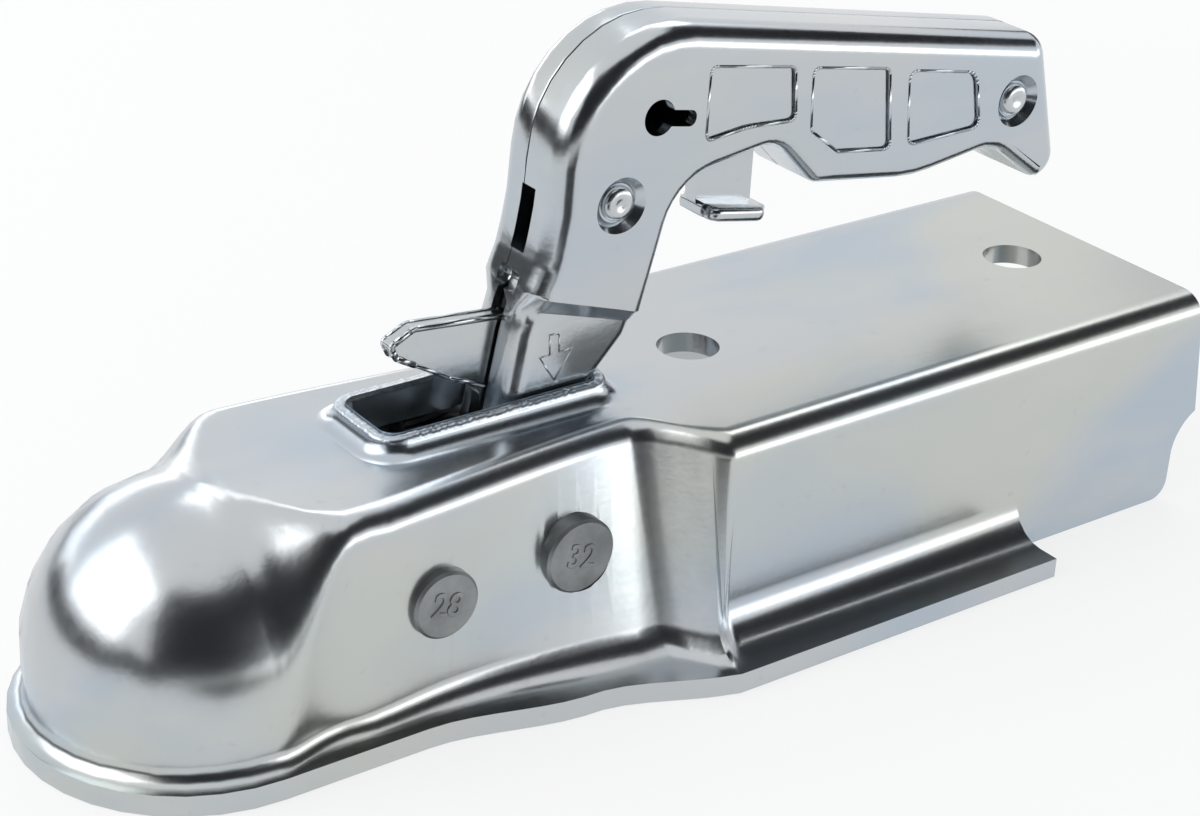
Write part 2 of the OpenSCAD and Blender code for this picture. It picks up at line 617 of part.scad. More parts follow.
// Release lever: hub on the rivet, arm through the grip opening, finger pad and toe
module release_lever() {
    h = lever_t / 2;
    color("silver") difference() {
        union() {
            plate([[72.6, 36.2, 1], [72.8, 60, 8], [74, 73.5, 7], [86, 73.8, 6], [103, 76, 2],
                [116.4, 74, 2], [116.2, 56.5, 1], [103.4, 58.6, 1], [102.6, 70.4, 3], [88, 68, 8],
                [84.5, 58, 10], [79, 36.2, 1]], -h, h);
            plate([[103.3, 56.8, 0.8], [103.6, 59.4, 0.8], [118.8, 56.2, 0.8], [118.3, 53.6, 0.8]],
                -pad_w / 2, pad_w / 2);
        }
        bar(rivet_spots[0], rivet_d + 2 * run_gap, -h - 1, h + 1);
    }
}

housing();
front_pin();
rear_pin();
mirror([0, 1, 0]) front_spacer();  // front_spacer_left
front_spacer();  // front_spacer_right
mirror([0, 1, 0]) rear_spacer();  // rear_spacer_left
rear_spacer();  // rear_spacer_right
mirror([0, 1, 0]) washer();  // rear_washer_left
washer();  // rear_washer_right
catch_bush();
clamp_spring();
handle_spring();
ball_clamp();
handle_left();
handle_right();
lower_rivet();
end_rivet();
grip_spacer();
pivot_tube();
cam_pin();
cam_sleeve();
pointer_plate();
mirror([0, 1, 0]) lever_bush();  // lever_bush_left
lever_bush();  // lever_bush_right
lever_spring();
release_lever();
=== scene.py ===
"""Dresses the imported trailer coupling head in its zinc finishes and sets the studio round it."""
import json
import math
import random

import bmesh
import bpy
from mathutils import Matrix, Vector


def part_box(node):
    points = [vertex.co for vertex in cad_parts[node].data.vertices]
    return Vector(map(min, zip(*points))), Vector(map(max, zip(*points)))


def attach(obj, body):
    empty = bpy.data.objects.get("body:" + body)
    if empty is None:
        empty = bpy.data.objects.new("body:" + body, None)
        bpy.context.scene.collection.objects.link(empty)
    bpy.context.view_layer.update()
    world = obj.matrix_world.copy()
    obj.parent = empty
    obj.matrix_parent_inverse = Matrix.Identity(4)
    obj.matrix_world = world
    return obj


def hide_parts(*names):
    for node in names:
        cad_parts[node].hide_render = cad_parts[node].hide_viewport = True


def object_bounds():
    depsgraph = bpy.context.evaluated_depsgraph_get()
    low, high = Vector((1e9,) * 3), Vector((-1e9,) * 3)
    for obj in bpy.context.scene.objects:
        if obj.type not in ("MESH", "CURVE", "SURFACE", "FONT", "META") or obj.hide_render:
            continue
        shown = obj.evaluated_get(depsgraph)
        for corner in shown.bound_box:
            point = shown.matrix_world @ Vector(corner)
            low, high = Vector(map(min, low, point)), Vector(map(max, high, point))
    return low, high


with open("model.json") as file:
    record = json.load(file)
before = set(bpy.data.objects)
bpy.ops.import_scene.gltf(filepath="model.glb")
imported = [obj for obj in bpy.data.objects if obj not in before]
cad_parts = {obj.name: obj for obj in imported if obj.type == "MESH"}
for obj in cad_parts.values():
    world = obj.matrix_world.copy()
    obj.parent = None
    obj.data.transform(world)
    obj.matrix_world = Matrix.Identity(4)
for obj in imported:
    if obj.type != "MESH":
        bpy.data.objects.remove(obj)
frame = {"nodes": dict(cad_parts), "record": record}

bl_info = {
    "name": "Coupling Head Dresser",
    "version": (1, 0, 0),
    "blender": (4, 5, 0),
    "location": "View3D > Sidebar > Coupling",
    "description": "Finishes, marks and studio for a pressed trailer coupling head",
    "category": "Object",
}

CAD_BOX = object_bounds()
MM = 0.001
ROOF = 29.3


class CouplingSizes(bpy.types.PropertyGroup):
    """Sizes of what the dresser adds, in metres."""
    crease_angle: bpy.props.FloatProperty(
        name="Crease angle", description="Edges sharper than this stay hard",
        default=math.radians(34), subtype="ANGLE", unit="ROTATION")
    stamp_depth: bpy.props.FloatProperty(
        name="Stamp height", description="Height of the raised stamping lines",
        default=0.16 * MM, subtype="DISTANCE", unit="LENGTH")
    arrow_stroke: bpy.props.FloatProperty(
        name="Arrow line", description="Width of the arrow's raised outline",
        default=0.34 * MM, subtype="DISTANCE", unit="LENGTH")
    bead_width: bpy.props.FloatProperty(
        name="Field bead", description="Width of the bead round each pressed field",
        default=0.60 * MM, subtype="DISTANCE", unit="LENGTH")
    bead_height: bpy.props.FloatProperty(
        name="Bead height", description="Height of the bead round each pressed field",
        default=0.10 * MM, subtype="DISTANCE", unit="LENGTH")
    digit_height: bpy.props.FloatProperty(
        name="Number height", description="Height of the numbers on the pin ends",
        default=4.6 * MM, subtype="DISTANCE", unit="LENGTH")


class CouplingColours(bpy.types.PropertyGroup):
    """Colours of the finishes, linear."""
    zinc: bpy.props.FloatVectorProperty(
        name="Zinc", description="Body colour of the plated sheet",
        default=(0.525, 0.55, 0.57), subtype="COLOR", size=3)
    zinc_blue: bpy.props.FloatVectorProperty(
        name="Blue cast", description="Blue tint of the passivated zinc",
        default=(0.44, 0.505, 0.575), subtype="COLOR", size=3)
    zinc_straw: bpy.props.FloatVectorProperty(
        name="Straw cast", description="Faint yellow tint of the passivated zinc",
        default=(0.565, 0.575, 0.525), subtype="COLOR", size=3)
    zinc_speck: bpy.props.FloatVectorProperty(
        name="Specks", description="Small rubbed spots in the zinc",
        default=(0.42, 0.44, 0.46), subtype="COLOR", size=3)
    pin_grey: bpy.props.FloatVectorProperty(
        name="Pin grey", description="Matt grey of the pin ends",
        default=(0.30, 0.315, 0.32), subtype="COLOR", size=3)
    inner_grey: bpy.props.FloatVectorProperty(
        name="Inner grey", description="Dull steel of the inner pieces",
        default=(0.22, 0.225, 0.23), subtype="COLOR", size=3)
    wire_dark: bpy.props.FloatVectorProperty(
        name="Wire", description="Dark drawn spring wire",
        default=(0.09, 0.09, 0.095), subtype="COLOR", size=3)
    cast_dark: bpy.props.FloatVectorProperty(
        name="Casting", description="Dark grey of the cast clamp",
        default=(0.12, 0.12, 0.125), subtype="COLOR", size=3)


class Wire:
    """A shader socket with arithmetic: each operator adds its Math node."""

    def __init__(self, tree, socket):
        self.tree = tree
        self.socket = socket

    def math(self, operation, *inputs):
        node = self.tree.nodes.new("ShaderNodeMath")
        node.operation = operation
        for slot, value in zip(node.inputs, inputs):
            if isinstance(value, Wire):
                self.tree.links.new(value.socket, slot)
            else:
                slot.default_value = value
        return Wire(self.tree, node.outputs[0])

    def __add__(self, other):
        return self.math("ADD", self, other)

    __radd__ = __add__

    def __sub__(self, other):
        return self.math("SUBTRACT", self, other)

    def __rsub__(self, other):
        return self.math("SUBTRACT", other, self)

    def __mul__(self, other):
        return self.math("MULTIPLY", self, other)

    __rmul__ = __mul__

    def step(self, low, high):
        """Goes smoothly from 0 at low to 1 at high."""
        return Paint(self.tree).node("ShaderNodeMapRange", dict(interpolation_type="SMOOTHSTEP"),
                                     {"Value": self, "From Min": low, "From Max": high})[0]


class Paint:
    """Builds one node tree; node() makes any node from its settings and sockets."""

    def __init__(self, tree):
        self.tree = tree

    def node(self, kind, settings=None, sockets=None):
        node = self.tree.nodes.new(kind)
        for key, value in (settings or {}).items():
            if key == "stops":
                ramp = node.color_ramp
                while len(ramp.elements) < len(value):
                    ramp.elements.new(0.5)
                for element, (place, colour) in zip(ramp.elements, value):
                    element.position = place
                    element.color = (*colour, 1.0)
            else:
                setattr(node, key, value)
        for key, value in (sockets or {}).items():
            socket = node.inputs[key]
            if isinstance(value, Wire):
                self.tree.links.new(value.socket, socket)
            elif socket.type == "RGBA" and len(value) == 3:
                socket.default_value = (*value, 1.0)
            else:
                socket.default_value = value
        return [Wire(self.tree, out) for out in node.outputs]

    def noise(self, place, scale, detail=3.0, rough=0.5, stretch=(1.0, 1.0, 1.0)):
        spread = self.node("ShaderNodeMapping", None, {"Vector": place, "Scale": stretch})[0]
        return self.node("ShaderNodeTexNoise", None, {
            "Vector": spread, "Scale": scale, "Detail": detail, "Roughness": rough})[0]

    def mix(self, factor, first, second, blend="MIX"):
        node = self.tree.nodes.new("ShaderNodeMix")
        node.data_type = "RGBA"
        node.blend_type = blend
        for socket, value in ((node.inputs[0], factor), (node.inputs[6], first), (node.inputs[7], second)):
            if isinstance(value, Wire):
                self.tree.links.new(value.socket, socket)
            elif socket.type == "RGBA":
                socket.default_value = (*value, 1.0)
            else:
                socket.default_value = value
        return Wire(self.tree, node.outputs[2])


def fresh_material(name):
    material = bpy.data.materials.new(name)
    material.use_nodes = True
    material.node_tree.nodes.clear()
    paint = Paint(material.node_tree)
    place = paint.node("ShaderNodeTexCoord")[3]
    return material, paint, place


def finish_material(paint, colour, rough, normal=None, metallic=1.0, coat=0.0):
    sockets = {"Base Color": colour, "Roughness": rough, "Metallic": metallic, "Coat Weight": coat}
    if normal is not None:
        sockets["Normal"] = normal
    shader = paint.node("ShaderNodeBsdfPrincipled", None, sockets)[0]
    paint.node("ShaderNodeOutputMaterial", None, {"Surface": shader})


def bump(paint, height, distance, strength=1.0):
    return paint.node("ShaderNodeBump", None, {
        "Height": height, "Distance": distance, "Strength": strength})[0]


def zinc_material(name, shine, tint=1.0, shear=None):
    """Passivated zinc on rolled sheet: clouded tints, crystal grain, rubbed spots and hairlines."""
    colours = bpy.context.scene.coupling_colours
    material, paint, place = fresh_material(name)
    cloud = paint.noise(place, 26.0, 3.0, 0.55, (0.5, 1.0, 1.4))
    drift = paint.noise(place, 14.0, 2.0, 0.5, (0.6, 1.2, 1.0))
    fine = paint.noise(place, 900.0, 3.0, 0.6)
    streak = paint.noise(place, 260.0, 3.0, 0.6, (0.08, 1.0, 1.0))
    speck = paint.noise(place, 420.0, 2.0, 0.4)
    colour = paint.mix(cloud.step(0.40, 0.64) * (0.95 * tint), tuple(colours.zinc), tuple(colours.zinc_blue))
    colour = paint.mix(drift.step(0.52, 0.68) * (0.75 * tint), colour, tuple(colours.zinc_straw))
    colour = paint.mix(speck.step(0.66, 0.78) * 0.25, colour, tuple(colours.zinc_speck))
    rough = (cloud * 0.10 + fine * 0.07 + streak * 0.07) + (shine - 0.12)
    height = fine * 0.4 + streak * 0.5 + drift * 0.6
    if shear is not None:
        low, high = shear
        up = paint.node("ShaderNodeSeparateXYZ", None, {"Vector": place})[2]
        mask = up.step(low, high)
        torn = paint.noise(place, 700.0, 4.0, 0.7, (1.0, 1.0, 0.35))
        height = height + mask * torn * 6.0
        rough = rough + mask * 0.06
    finish_material(paint, colour, rough, bump(paint, height, 0.00006, 0.5))
    return material


# Height above the origin over which the rivets' steel is plated, and the pins below it are not
PLATED_FROM = (45 * MM, 46 * MM)
PLATED_ROUGHNESS = 0.24


def plain_metal(name, colour, rough, grain=600.0, depth=0.00004, metallic=1.0, bright=None):
    """Turned, drawn or cast steel with a little cloud and its grain; bright is its colour where plated."""
    material, paint, place = fresh_material(name)
    cloud = paint.noise(place, 120.0, 3.0, 0.6)
    fine = paint.noise(place, grain, 4.0, 0.65)
    darker = tuple(0.7 * c for c in colour)
    tone = paint.mix(cloud.step(0.35, 0.7), colour, darker)
    wear = cloud * 0.14 + (rough - 0.07)
    if bright is not None:
        plated = paint.node("ShaderNodeSeparateXYZ", None, {"Vector": place})[2].step(*PLATED_FROM)
        tone = paint.mix(plated, tone, bright)
        wear = wear - plated * (rough - PLATED_ROUGHNESS)
    finish_material(paint, tone, wear, bump(paint, fine, depth, 0.7), metallic)
    return material


MATERIALS = {}


def material_for(slot):
    """Each material slot of the record has one finish, made once."""
    if slot not in MATERIALS:
        colours = bpy.context.scene.coupling_colours
        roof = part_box("housing")[1][2]
        makers = {
            "zinc_sheet": lambda: zinc_material("zinc_sheet", 0.235, 1.0, (roof - 1.4 * MM, roof - 0.4 * MM)),
            "bright_zinc": lambda: zinc_material("bright_zinc", 0.19, 0.6),
            "pin_steel": lambda: plain_metal("pin_steel", tuple(colours.pin_grey), 0.46, 900.0, 0.00003,
                                             bright=tuple(colours.zinc)),
            "plain_steel": lambda: plain_metal("plain_steel", tuple(colours.inner_grey), 0.42),
            "spring_steel": lambda: plain_metal("spring_steel", tuple(colours.wire_dark), 0.38),
            "cast_metal": lambda: plain_metal("cast_metal", tuple(colours.cast_dark), 0.62, 260.0, 0.00012,
                                              metallic=0.8),
        }
        MATERIALS[slot] = makers[slot]()
    return MATERIALS[slot]


SLOTS = {row["node"]: row["material_slot"] for row in frame["record"]["subparts"]}
BODY_OF = {node: body for body, nodes in frame["record"]["behaviour"]["bodies"].items() for node in nodes}


# Back edge of the handle above the slot, as pressed in the source and as it settles here: z, x, shift
BACK_EDGE = ((19, 55.4, 0.0), (30, 58.2, -0.6), (44, 61.8, -1.2), (48.9, 63.04, -1.0), (51.8, 63.75, -0.6),
             (54.0, 64.7, -0.7), (58.0, 66.6, -1.3), (62, 67.05, -0.7), (66, 67.3, -0.2), (70, 67.5, 0.0))


def between(table, z, column):
    """Value of a column of the table at z, along straight lines."""
    for low, high in zip(table, table[1:]):
        if low[0] <= z <= high[0]:
            return low[column] + (high[column] - low[column]) * (z - low[0]) / (high[0] - low[0])
    return 0.0


BACK_CUTS = (62, 66, 46, 44, 38)


def settle_joggle(bm):
    """Straightens the lean of the back edge and lengthens the step down to the cheeks."""
    low, high = BACK_EDGE[0][0], BACK_EDGE[-1][0]
    for cut in BACK_CUTS:
        bmesh.ops.bisect_plane(bm, geom=[*bm.verts, *bm.edges, *bm.faces], plane_co=(0, 0, cut * MM),
                               plane_no=(0, 0, 1), dist=1e-7)
    for corner in bm.verts:
        x, z = corner.co.x / MM, corner.co.z / MM
        if low < z < high and x < 84:
            fade = min(max((16 - (x - between(BACK_EDGE, z, 1))) / 12, 0.0), 1.0)
            corner.co.x += fade * between(BACK_EDGE, z, 2) * MM


# Middle of the keyhole's narrow end in the side view, and half its width
KEY_END = (95.96, 79.18)
KEY_HALF = 1.50


def round_slot_end(bm):
    """Rounds the narrow end of the keyhole."""
    def near(corner):
        return math.hypot(corner.co.x / MM - KEY_END[0], corner.co.z / MM - KEY_END[1]) < KEY_HALF + 0.25

    edges = [edge for edge in bm.edges if all(near(corner) for corner in edge.verts)
             and abs(edge.verts[0].co.y - edge.verts[1].co.y) > 0.8 * edge.calc_length()]
    bmesh.ops.bevel(bm, geom=edges, offset=0.9 * KEY_HALF * MM, segments=6, profile=0.5, affect="EDGES",
                    material=-1, clamp_overlap=True)


def open_seam(bm):
    """Breaks the edges of the seam where it runs on smoothly, which reads as a fine groove."""
    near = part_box("handle_left")[1][1] - 0.05 * MM
    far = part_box("handle_right")[0][1] + 0.05 * MM
    edges = []
    for edge in bm.edges:
        if len(edge.link_faces) == 2 and all(near < corner.co.y < far for corner in edge.verts):
            lean = sorted(abs(face.normal.y) for face in edge.link_faces)
            if lean[0] < 0.3 and lean[1] > 0.9:
                edges.append(edge)

    def runs_on(corner):
        """Two edges of the seam meet at the corner, nearly in line."""
        meet = [edge.other_vert(corner).co - corner.co for edge in corner.link_edges if edge in edges]
        return len(meet) == 2 and meet[0].length > 0 and meet[1].length > 0 and \
            meet[0].angle(meet[1]) > math.radians(150)

    edges = [edge for edge in edges if all(runs_on(corner) for corner in edge.verts)]
    bmesh.ops.bevel(bm, geom=edges, offset=0.30 * MM, segments=2, profile=0.5, affect="EDGES",
                    material=-1, clamp_overlap=False)


# Under this the faces of a plate count as flat; over the skin they belong to the drawn collar
FLAT = math.radians(0.5)
SKIN = 0.05 * MM
LEVER_WIDTH = 0.55
PRESSED_PLATES = ("handle_left", "handle_right", "pointer_plate", "release_lever")


def weld_copy(node):
    """A merged copy of a node's triangles, smooth across bends and hard at real edges."""
    source = frame["nodes"][node]
    mesh = bpy.data.meshes.new(node + "_finish")
    bm = bmesh.new()
    bm.from_mesh(source.data)
    bmesh.ops.remove_doubles(bm, verts=bm.verts, dist=2e-6)
    if node == "housing":
        roof = ROOF * MM
        collar = [face for face in bm.faces if face.calc_center_median().z > roof + SKIN
                  and min(corner.co.z for corner in face.verts) > roof - SKIN]
        bmesh.ops.delete(bm, geom=collar, context="FACES")
    if node in PRESSED_PLATES:
        bmesh.ops.dissolve_limit(bm, angle_limit=FLAT, verts=bm.verts, edges=bm.edges)
    if node in ("handle_left", "handle_right"):
        round_slot_end(bm)
        open_seam(bm)
        settle_joggle(bm)
    if node in PRESSED_PLATES:
        bmesh.ops.triangulate(bm, faces=bm.faces, quad_method="BEAUTY", ngon_method="BEAUTY")
    if node == "release_lever":
        for corner in bm.verts:
            if abs(corner.co.y) > 2 * MM:
                corner.co.y *= LEVER_WIDTH
    for face in bm.faces:
        face.smooth = True
    bm.to_mesh(mesh)
    bm.free()
    piece = bpy.data.objects.new(node + "_finish", mesh)
    bpy.context.scene.collection.objects.link(piece)
    if "custom_normal" in mesh.attributes:
        mesh.attributes.remove(mesh.attributes["custom_normal"])
    mesh.set_sharp_from_angle(angle=bpy.context.scene.coupling_sizes.crease_angle)
    return piece


def dress(node):
    """Gives a node its finish, on a welded copy with area-weighted normals."""
    piece = weld_copy(node)
    piece.data.materials.clear()
    piece.data.materials.append(material_for(SLOTS[node]))
    weigh = piece.modifiers.new("weigh", "WEIGHTED_NORMAL")
    weigh.mode = "FACE_AREA"
    weigh.weight = 60
    weigh.keep_sharp = True
    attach(piece, BODY_OF[node])
    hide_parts(node)
    return piece


def new_piece(name, bm, node, slot=None):
    """A finished mesh in place, riding with the body of the node that carries it."""
    mesh = bpy.data.meshes.new(name)
    bm.to_mesh(mesh)
    bm.free()
    piece = bpy.data.objects.new(name, mesh)
    bpy.context.scene.collection.objects.link(piece)
    mesh.materials.append(material_for(slot or SLOTS[node]))
    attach(piece, BODY_OF[node])
    return piece


def ridge_line(bm, points, width, height, y_face, closed=False):
    """Raised line with a rounded back along points of the side view, standing on y_face."""
    count = len(points)
    spans = count if closed else count - 1
    for i in range(spans):
        a = Vector((points[i][0], 0, points[i][1]))
        b = Vector((points[(i + 1) % count][0], 0, points[(i + 1) % count][1]))
        along = b - a
        made = bmesh.ops.create_cone(bm, cap_ends=True, segments=12, radius1=width / 2,
                                     radius2=width / 2, depth=along.length)["verts"]
        turn = along.to_track_quat("Z", "Y").to_matrix().to_4x4()
        bmesh.ops.transform(bm, matrix=turn, verts=made)
        bmesh.ops.scale(bm, vec=Vector((1, 2 * height / width, 1)), verts=made)
        bmesh.ops.translate(bm, vec=(a + b) / 2 + Vector((0, y_face, 0)), verts=made)
    for x, z in points:
        made = bmesh.ops.create_icosphere(bm, subdivisions=2, radius=width / 2)["verts"]
        bmesh.ops.scale(bm, vec=Vector((1, 2 * height / width, 1)), verts=made)
        bmesh.ops.translate(bm, vec=Vector((x, y_face, z)), verts=made)


def smooth_faces(bm):
    for face in bm.faces:
        face.smooth = True


class DressPressings(bpy.types.Operator):
    """Housing, handle halves, pointer and lever in bright zinc"""
    bl_idname = "coupling.dress_pressings"
    bl_label = "Dress Pressings"

    def execute(self, context):
        for node in ("housing", "handle_left", "handle_right", "pointer_plate", "release_lever"):
            dress(node)
        return {"FINISHED"}


class DressTurnedParts(bpy.types.Operator):
    """Pins, spacers, springs and the cast clamp; not the rivets"""
    bl_idname = "coupling.dress_turned_parts"
    bl_label = "Dress Turned Parts"

    def execute(self, context):
        done = {"housing", "handle_left", "handle_right", "pointer_plate", "release_lever",
                "lower_rivet", "end_rivet"}
        for node in SLOTS:
            if node not in done:
                dress(node)
        return {"FINISHED"}


class MarkPins(bpy.types.Operator):
    """Plain numbers stamped on the ends of the two pins"""
    bl_idname = "coupling.mark_pins"
    bl_label = "Mark Pins"

    def execute(self, context):
        sizes = context.scene.coupling_sizes
        for node, words in (("front_pin", "28"), ("rear_pin", "32")):
            low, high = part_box(node)
            middle = [(low[i] + high[i]) / 2 for i in range(3)]
            curve = bpy.data.curves.new(node + "_number", "FONT")
            curve.body = words
            curve.size = sizes.digit_height * 1.35
            curve.align_x = "CENTER"
            curve.align_y = "CENTER"
            curve.extrude = 0.12 * MM
            curve.bevel_depth = 0.12 * MM
            curve.bevel_resolution = 2
            draft = bpy.data.objects.new(node + "_draft", curve)
            context.scene.collection.objects.link(draft)
            context.view_layer.update()
            mesh = bpy.data.meshes.new_from_object(draft)
            bpy.data.objects.remove(draft)
            turn = Matrix.Rotation(math.radians(90), 4, "X")
            lean = Matrix.Rotation(math.radians(-14), 4, "Z")
            mesh.transform(Matrix.Translation((middle[0], low[1], middle[2])) @ turn @ lean)
            bm = bmesh.new()
            bm.from_mesh(mesh)
            new_piece(node + "_number", bm, node)
        return {"FINISHED"}


def rounded_run(corners, steps=5, closed=True):
    """Outline with its corners rounded, in metres; each corner is (x, z, radius) in millimetres."""
    points = []
    count = len(corners)
    for i, (x, z, radius) in enumerate(corners):
        here = Vector((x, z))
        if not closed and i in (0, count - 1):
            points.append(tuple(here * MM))
            continue
        behind, beyond = Vector(corners[i - 1][:2]), Vector(corners[(i + 1) % count][:2])
        back, ahead = (behind - here).normalized(), (beyond - here).normalized()
        reach = min(radius / math.tan(back.angle(ahead) / 2), 0.45 * (behind - here).length,
                    0.45 * (beyond - here).length)
        first, last = here + back * reach, here + ahead * reach
        for k in range(steps + 1):
            t = k / steps
            points.append(tuple(((1 - t) ** 2 * first + 2 * t * (1 - t) * here + t * t * last) * MM))
    return points


class MarkHandle(bpy.types.Operator):
    """Arrow on the near cheek and pressed edges round the fields on both faces"""
    bl_idname = "coupling.mark_handle"
    bl_label = "Mark Handle"

    ARROW = ((67.6, 43.4), (69.7, 43.2), (69.9, 39.6), (72.6, 39.7), (69.0, 34.2), (65.7, 39.4), (67.9, 39.5))
    FIELDS = (
        ((98.4, 74.3, 1.5), (98.6, 88.2, 1.5), (118, 84.9, 1.5), (119, 74.6, 1.5), (108, 75.3, 20)),
        ((129.8, 66.5, 1.5), (122.8, 71.9, 1.5), (122.2, 84, 1.5), (140.9, 80.7, 1.5), (142.8, 64.6, 1.5)),
        ((147.3, 64.5, 2), (145.8, 79.5, 2), (163.4, 76.2, 4), (165.6, 64.8, 2)))

    def execute(self, context):
        sizes = context.scene.coupling_sizes
        low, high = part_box("handle_left")
        cheek_face = low[1] + 2.2 * MM
        bm = bmesh.new()
        arrow = [(x * MM, z * MM) for x, z in self.ARROW]
        ridge_line(bm, arrow, sizes.arrow_stroke, sizes.stamp_depth, cheek_face, closed=True)
        smooth_faces(bm)
        new_piece("cheek_arrow", bm, "handle_left")
        for node, face in (("handle_left", low[1]), ("handle_right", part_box("handle_right")[1][1])):
            bm = bmesh.new()
            for field in self.FIELDS:
                ridge_line(bm, rounded_run(field), sizes.bead_width, sizes.bead_height, face, closed=True)
            smooth_faces(bm)
            new_piece(node + "_beads", bm, node)
        return {"FINISHED"}


class RimPointer(bpy.types.Operator):
    """Rolled rim along the edges of the pointer's wing"""
    bl_idname = "coupling.rim_pointer"
    bl_label = "Rim Pointer"

    TOP = ((62.0, 46.15, 0), (43.3, 47.9, 2.2), (38.65, 45.65, 0.8), (39.75, 43.2, 0.8), (43.5, 41.05, 0))
    LOW = ((43.5, 41.05, 0), (50.8, 36.7, 3), (58.0, 33.5, 0))

    def execute(self, context):
        low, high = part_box("pointer_plate")
        for side, face in (("left", low[1]), ("right", high[1])):
            bm = bmesh.new()
            ridge_line(bm, rounded_run(self.TOP, 6, closed=False), 1.25 * MM, 0.5 * MM, face)
            ridge_line(bm, rounded_run(self.LOW, 6, closed=False), 0.8 * MM, 0.25 * MM, face)
            smooth_faces(bm)
            new_piece("pointer_rim_" + side, bm, "pointer_plate")
        return {"FINISHED"}


class PadLever(bpy.types.Operator):
    """Thick rounded finger pad folded from the release lever"""
    bl_idname = "coupling.pad_lever"
    bl_label = "Pad Lever"

    SIZE = Vector((13.6, 11.4, 2.7)) * MM
    MIDDLE = Vector((110.9, 0, 56.4)) * MM
    LEAN = math.radians(11)

    def execute(self, context):
        bm = bmesh.new()
        bmesh.ops.create_cube(bm, size=1.0)
        bmesh.ops.scale(bm, vec=self.SIZE, verts=bm.verts)
        upright = [edge for edge in bm.edges if abs(edge.verts[0].co.z - edge.verts[1].co.z) > 1 * MM]
        bmesh.ops.bevel(bm, geom=upright, offset=2.4 * MM, segments=6, profile=0.5, affect="EDGES",
                        material=-1)
        rims = [edge for edge in bm.edges if len(edge.link_faces) == 2 and edge.calc_face_angle() > 1.2]
        bmesh.ops.bevel(bm, geom=rims, offset=1.0 * MM, segments=4, profile=0.5, affect="EDGES",
                        material=-1)
        bmesh.ops.rotate(bm, cent=(0, 0, 0), matrix=Matrix.Rotation(self.LEAN, 3, "Y"), verts=bm.verts)
        bmesh.ops.translate(bm, vec=self.MIDDLE, verts=bm.verts)
        smooth_faces(bm)
        new_piece("lever_pad", bm, "release_lever")
        return {"FINISHED"}


class DrawCollar(bpy.types.Operator):
    """Drawn collar of the handle slot: flared sides and a torn, sheared rim"""
    bl_idname = "coupling.draw_collar"
    bl_label = "Draw Collar"

    # The slot's first and last x, half width and corner radius, in millimetres
    SLOT = (34.0, 78.6, 8.1, 3.0)
    STEPS_ROUND = 420
    # How far outside the slot, and how high over the roof
    PROFILE = ((5.3, 0.0), (4.5, 0.12), (3.6, 0.5), (2.9, 1.15), (2.45, 1.9), (2.2, 2.6), (2.0, 3.1),
               (1.7, 3.42), (1.1, 3.5), (0.5, 3.42), (0.1, 3.2), (-0.03, 2.6), (-0.03, -3.9))

    def loop(self, grow, count):
        """Rounded rectangle round the slot, count points evenly by share of its length."""
        first, last, half, corner = self.SLOT
        radius = max(corner + grow, 0.3)
        middle = (first + last) / 2
        reach = (last - first) / 2 + grow - radius
        side = half + grow - radius
        arc = math.pi / 2 * corner
        rest = (2 * (half - corner), arc, last - first - 2 * corner, arc) * 2
        total = sum(rest)
        points = []
        for k in range(count):
            at = total * k / count
            part = 0
            while at > rest[part]:
                at -= rest[part]
                part += 1
            t = at / rest[part]
            if part % 2 == 0:
                far_x, far_y = reach + radius, side + radius
                ends = (((far_x, -side), (far_x, side)), ((reach, far_y), (-reach, far_y)),
                        ((-far_x, side), (-far_x, -side)), ((-reach, -far_y), (reach, -far_y)))
                (x0, y0), (x1, y1) = ends[part // 2]
                x, y = x0 + (x1 - x0) * t, y0 + (y1 - y0) * t
            else:
                cx, cy = ((reach, side), (-reach, side), (-reach, -side), (reach, -side))[part // 2]
                turn = math.pi / 2 * (part // 2 + t)
                x, y = cx + radius * math.cos(turn), cy + radius * math.sin(turn)
            points.append((middle + x, y))
        return points

    def execute(self, context):
        dice = random.Random(7)
        count = self.STEPS_ROUND
        waves = [(dice.uniform(0, 6.28), dice.randint(5, 110), dice.uniform(0.01, 0.045)) for _ in range(18)]
        bm = bmesh.new()
        rings = []
        for grow, rise in self.PROFILE:
            torn = min(max((rise - 2.9) / 0.5, 0.0), 1.0) if grow > 0 else 0.0
            ring = []
            for k, (x, y) in enumerate(self.loop(grow, count)):
                rag = sum(size * math.sin(often * 6.283 * k / count + start) for start, often, size in waves)
                lift = torn * (rag - 0.1 + dice.uniform(-0.05, 0.05))
                ring.append(bm.verts.new((x * MM, y * MM, (ROOF + rise + lift) * MM)))
            rings.append(ring)
        for low, high in zip(rings, rings[1:]):
            for k in range(count):
                n = (k + 1) % count
                bm.faces.new((low[k], low[n], high[n], high[k]))
        smooth_faces(bm)
        new_piece("housing_collar", bm, "housing")
        return {"FINISHED"}


def lathe_y(bm, profile, centre, steps=48):
    """Spins (radius, y) pairs round a line along Y through centre, in millimetres."""
    points = [bm.verts.new(((centre[0] + radius) * MM, y * MM, centre[1] * MM)) for radius, y in profile]
    edges = [bm.edges.new(pair) for pair in zip(points, points[1:])]
    bmesh.ops.spin(bm, geom=points + edges, cent=Vector((centre[0], 0, centre[1])) * MM, axis=(0, 1, 0),
                   angle=2 * math.pi, steps=steps, use_merge=True)
    bmesh.ops.remove_doubles(bm, verts=bm.verts, dist=1e-6)
    bmesh.ops.recalc_face_normals(bm, faces=bm.faces)


